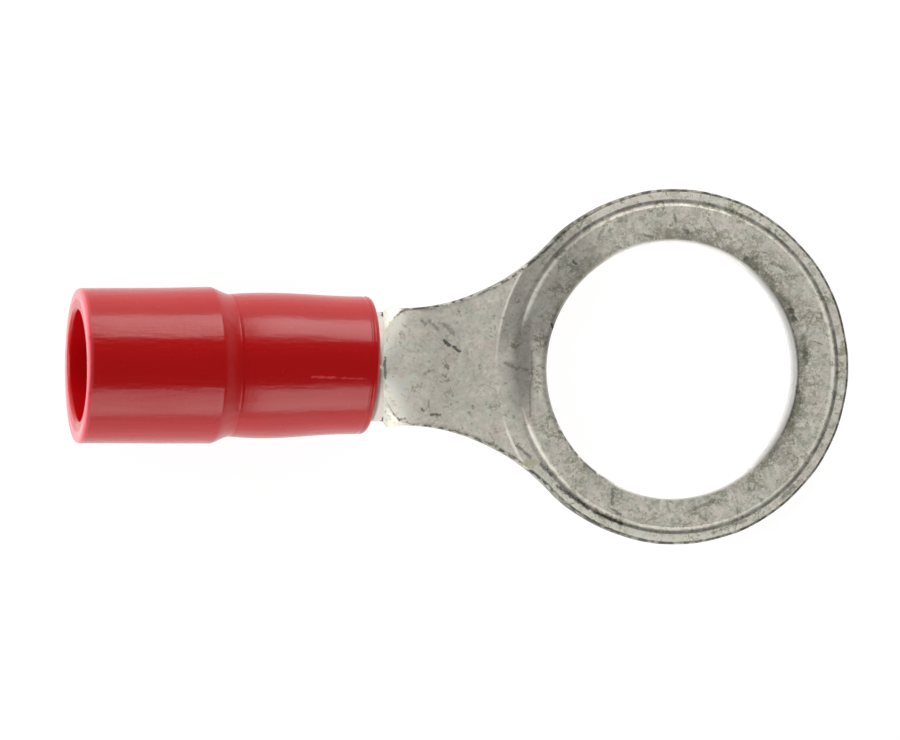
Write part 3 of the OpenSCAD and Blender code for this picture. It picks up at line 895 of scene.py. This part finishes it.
def placed_marks(g, at, colour):
    """The strokes of MARKS, among them a few painted shadows and painted shade, one greenish spot and
    faint scratches two ways. A stroke that starts beyond the barrel's front shows only about the
    height NOTCH_Z: those are the painted shadows in the barrel's notch corners."""
    ragged = g.calc("SUBTRACT", g.noise(at.here, 7.0, 3.0, 0.7), 0.5)
    in_notch = g.apart(at.z, NOTCH_Z, 0.50, 0.30)
    for start, end, width, left in MARKS:
        stroke = use_group(g, mark, {"Place": at.here, "From": (*start, 0), "To": (*end, 0),
                                     "Width": width, "Ragged": ragged}, "Mask")
        level = at.upper if start[0] > FRONT_X else in_notch
        colour = dim(g, colour, g.times(stroke, level), left)
    spot = g.times(oval(g, at.here, (-4.68, -3.16), (0.36, 0.17)), at.upper, 0.7)
    colour = g.blend(spot, colour, (0.60, 0.60, 0.34))
    lines = [use_group(g, scratches, {"Place": at.here, "Turn": turn, "Draw": (0.5, 5, 1),
                                      "Scale": scale}, "Mask")
             for turn, scale in ((0.5, 2.2), (-0.9, 2.6))]
    return dim(g, colour, g.most(*lines), 0.80)


def tinned_metal():
    """Dull tin plate with wear, its colour built up step by step from the plain tin, through painted
    shade and highlights, to the placed marks, duller in the spots and the dark edges, over a faint
    bump."""
    material, g = new_material("tinned_copper_finish")
    at = metal_places(g)
    colour = zone_tones(g, at, tin_colour(g, at))
    colour, spots = soot_and_spots(g, at, colour)
    colour = shoulder_lines(g, at, colour)
    dark_edges = edge_darkening(g, at)
    # the outline's upper edge and the cut wall darkened, except on the curl
    colour = dim(g, colour, g.times(dark_edges, g.step(at.x, -9.3, -8.7)), 0.14)
    colour = collar(g, at, hole_lines(g, at, colour))
    colour = placed_marks(g, at, colour)
    dull = g.weigh(g.most(spots, dark_edges), 0.15, g.weigh(at.fine, 0.10, 0.50))
    height = g.weigh(at.grit, 0.6, g.times(at.fine, 1.2))
    bump = g.add("ShaderNodeBump", {"Strength": 1.0, "Distance": METAL_BUMP, "Height": height},
                 out="Normal")
    finish_material(g, {"Base Color": colour, "Metallic": 0.62, "Roughness": dull, "Normal": bump})
    return material


def red_vinyl():
    """Glossy moulded vinyl: faint flow streaks along the sleeve, fine dust and one hairline
    scratch, a lip round the mouth lighter in patches as painted highlight, and a brighter,
    light-filled bore."""
    material, g = new_material("red_vinyl_finish")
    here = place_in_mm(g)
    lip, outside = field(g, "rim"), field(g, "outside")
    colour = g.blend(cloud(g, here, 0.5, 1.0), (0.350, 0.0010, 0.0014), (0.395, 0.0020, 0.0026))
    colour = g.blend(outside, (0.56, 0.0030, 0.0060), colour)
    # painted highlight: the lip round the mouth lighter in patches
    lip_highlights = g.step(g.noise(here, 2.2, 3.0, 0.6), 0.12, 0.46)
    colour = g.blend(g.times(lip, lip_highlights), colour, (0.98, 0.17, 0.21))
    ragged = g.calc("SUBTRACT", g.noise(here, 5.0, 2.0, 0.6), 0.5)
    hair = use_group(g, mark, {"Place": here, "From": (-12.73, -0.335, 0), "To": (-10.92, -0.40, 0),
                               "Width": 0.042, "Ragged": ragged}, "Mask")
    hair = g.times(hair, g.step(separate(g, here)[2], AXIS_Z, AXIS_Z + 1),
                   g.step(g.noise(here, 2.4, 2.0, 0.5), 0.30, 0.60, 0.25, 1.0))
    colour = g.blend(g.times(hair, 0.45), colour, (0.66, 0.055, 0.065))
    streaks = g.noise(g.vector("MULTIPLY", here, (0.25, 2.2, 2.2)), 1.6, 4.0, 0.6)
    fine_streaks = g.noise(g.vector("MULTIPLY", here, (0.9, 5.0, 5.0)), 1.5, 3.0, 0.6)
    dust = use_group(g, specks, {"Place": here, "Scale": 9.0, "Amount": 0.30}, "Mask")
    gloss = g.weigh(hair, 0.25, g.weigh(dust, 0.12, g.weigh(streaks, 0.10, 0.155)))
    height = g.weigh(streaks, 0.8, g.times(g.noise(here, 7.0, 3.0, 0.6), 0.30))
    height = g.weigh(fine_streaks, 0.22, height)
    bump = g.add("ShaderNodeBump", {"Strength": 1.0, "Distance": VINYL_BUMP, "Height": height},
                 out="Normal")
    finish_material(g, {"Base Color": colour, "Roughness": gloss, "IOR": 1.5, "Normal": bump})
    return material


metal_piece = metal_body()
sleeve_piece = sleeve()
metal_piece.data.materials.append(tinned_metal())
sleeve_piece.data.materials.append(red_vinyl())


# ---------------------------------------------------------------- floor, light and camera
# the sleeve's widest place and the ring's tip rest on the floor
REST_SLOPE = -sleeve_lo[2] / (body_hi[0] - STEP_X)
FLOOR_GAP = 0.008      # keeps their slight unevenness above it
FLOOR_HALF = 1500.0


def floor():
    """Flat sheet under the part, along the sleeve's lowest place and the ring's tip."""
    u = np.linspace(-FLOOR_HALF, FLOOR_HALF, 3)
    x, y = np.meshgrid(u, u, indexing="ij")
    z = (x - body_hi[0]) * REST_SLOPE - FLOOR_GAP
    points = np.stack([x, y, z], axis=-1).reshape(-1, 3)
    mesh = bpy.data.meshes.new("pale_floor")
    quads = grid_quads(np.arange(9).reshape(3, 3))[:, ::-1]
    mesh.from_pydata((points * MM).tolist(), [], quads.tolist())
    piece = bpy.data.objects.new("pale_floor", mesh)
    bpy.context.scene.collection.objects.link(piece)
    material, g = new_material("pale_floor_finish")
    path = g.tree.nodes.new("ShaderNodeLightPath")
    seen = g.calc("MAXIMUM", path.outputs["Is Camera Ray"],
                  g.calc("MAXIMUM", path.outputs["Is Glossy Ray"], path.outputs["Is Transmission Ray"]))
    plain = g.add("ShaderNodeBsdfDiffuse", {"Color": (0.85, 0.85, 0.85, 1)})
    glow = g.add("ShaderNodeEmission", {"Color": (1, 1, 1, 1), "Strength": 0.89})
    faint = g.add("ShaderNodeBsdfDiffuse", {"Color": (0.20, 0.19, 0.19, 1)})
    white = g.add("ShaderNodeAddShader", {0: glow, 1: faint})
    g.add("ShaderNodeOutputMaterial",
          {"Surface": g.add("ShaderNodeMixShader", {0: seen, 1: plain, 2: white})})
    piece.data.materials.append(material)


LAMP_DISTANCE = 180.0
# on each side of the part: name, side along Y, degrees from straight up, half its height in
# degrees, radiance
SIDE_LAMPS = (("back", 1, 62, 18, 3.6), ("front", -1, 57, 20, 2.4))
BOX_AIM = (41.0, 0.0, 0.0)      # so far beyond the ring that their reflections end on the sleeve
FILL_ZENITH, FILL_SHARE = 80, 0.83


def softbox(name, toward, size, radiance, aim=(0.0, 0.0, 0.0), mirrored=True):
    """Rectangular lamp seen from aim in the direction (x, y, z), its long side along X. A lamp that
    isn't mirrored gives light but shows in no reflection."""
    lamp = bpy.data.lights.new(name, "AREA")
    lamp.shape = "RECTANGLE"
    lamp.size, lamp.size_y = size[0] * MM, size[1] * MM
    lamp.energy = radiance * math.pi * lamp.size * lamp.size_y
    piece = bpy.data.objects.new(name, lamp)
    bpy.context.scene.collection.objects.link(piece)
    direction = Vector(toward).normalized()
    piece.location = (Vector(aim) + direction * LAMP_DISTANCE) * MM
    piece.rotation_euler = (-direction).to_track_quat("-Z", "Y").to_euler()
    piece.visible_camera = False
    piece.visible_glossy = mirrored


def lamps():
    """A soft box and a large unmirrored fill on each side, and a soft box beyond the mouth."""
    for name, side, zenith, spread, radiance in SIDE_LAMPS:
        slope, low = math.radians(zenith), math.radians(FILL_ZENITH)
        height = 2 * LAMP_DISTANCE * math.tan(math.radians(spread))
        softbox("box_" + name, (0.0, side * math.sin(slope), math.cos(slope)), (74, height),
                radiance, aim=BOX_AIM)
        softbox("fill_" + name, (0.0, side * math.sin(low), math.cos(low)), (300, 110),
                FILL_SHARE * radiance, mirrored=False)
    slope = math.radians(70)
    softbox("box_left", (-math.sin(slope), 0.0, math.cos(slope)), (110, 200), 2.0)


def surroundings():
    """White to the eye. For reflections grey at the horizon and darker overhead, and as light on
    dull surfaces strong from the horizon and faint from overhead."""
    world = bpy.data.worlds.new("studio")
    bpy.context.scene.world = world
    world.use_nodes = True
    world.node_tree.nodes.clear()
    g = Graph(world.node_tree)
    path = g.tree.nodes.new("ShaderNodeLightPath")
    up = g.add("ShaderNodeSeparateXYZ", {0: g.add("ShaderNodeTexCoord", out="Generated")}, out="Z")
    reflected = g.step(up, 0.0, 0.60, 0.62, 0.12)
    ambient = g.step(up, 0.0, 0.65, 2.0, 0.12)
    shiny = g.calc("MAXIMUM", path.outputs["Is Glossy Ray"], path.outputs["Is Transmission Ray"])
    level = g.add("ShaderNodeMix", {0: shiny, 2: ambient, 3: reflected}, data_type="FLOAT")
    level = g.add("ShaderNodeMix", {0: path.outputs["Is Camera Ray"], 2: level, 3: 1.0},
                  data_type="FLOAT")
    back = g.add("ShaderNodeBackground", {"Color": (1, 1, 1, 1), "Strength": level})
    g.add("ShaderNodeOutputWorld", {"Surface": back})


def camera():
    """Long lens above the part, tilted towards the mouth."""
    tilt = math.radians(12.0)
    distance, seen_width, sensor = 650.0, 29.70, 36.0
    middle = Vector((-7.262, -0.109, 0.0))
    data = bpy.data.cameras.new("camera")
    data.sensor_width = sensor
    data.lens = sensor * distance / seen_width
    data.clip_start, data.clip_end = 0.01, 10.0
    piece = bpy.data.objects.new("camera", data)
    bpy.context.scene.collection.objects.link(piece)
    back = Vector((-math.sin(tilt), 0, math.cos(tilt)))
    piece.location = (middle + back * distance) * MM
    piece.rotation_euler = (0, -tilt, 0)
    bpy.context.scene.camera = piece


floor()
lamps()
surroundings()
camera()
bpy.context.scene.view_settings.view_transform = "Standard"
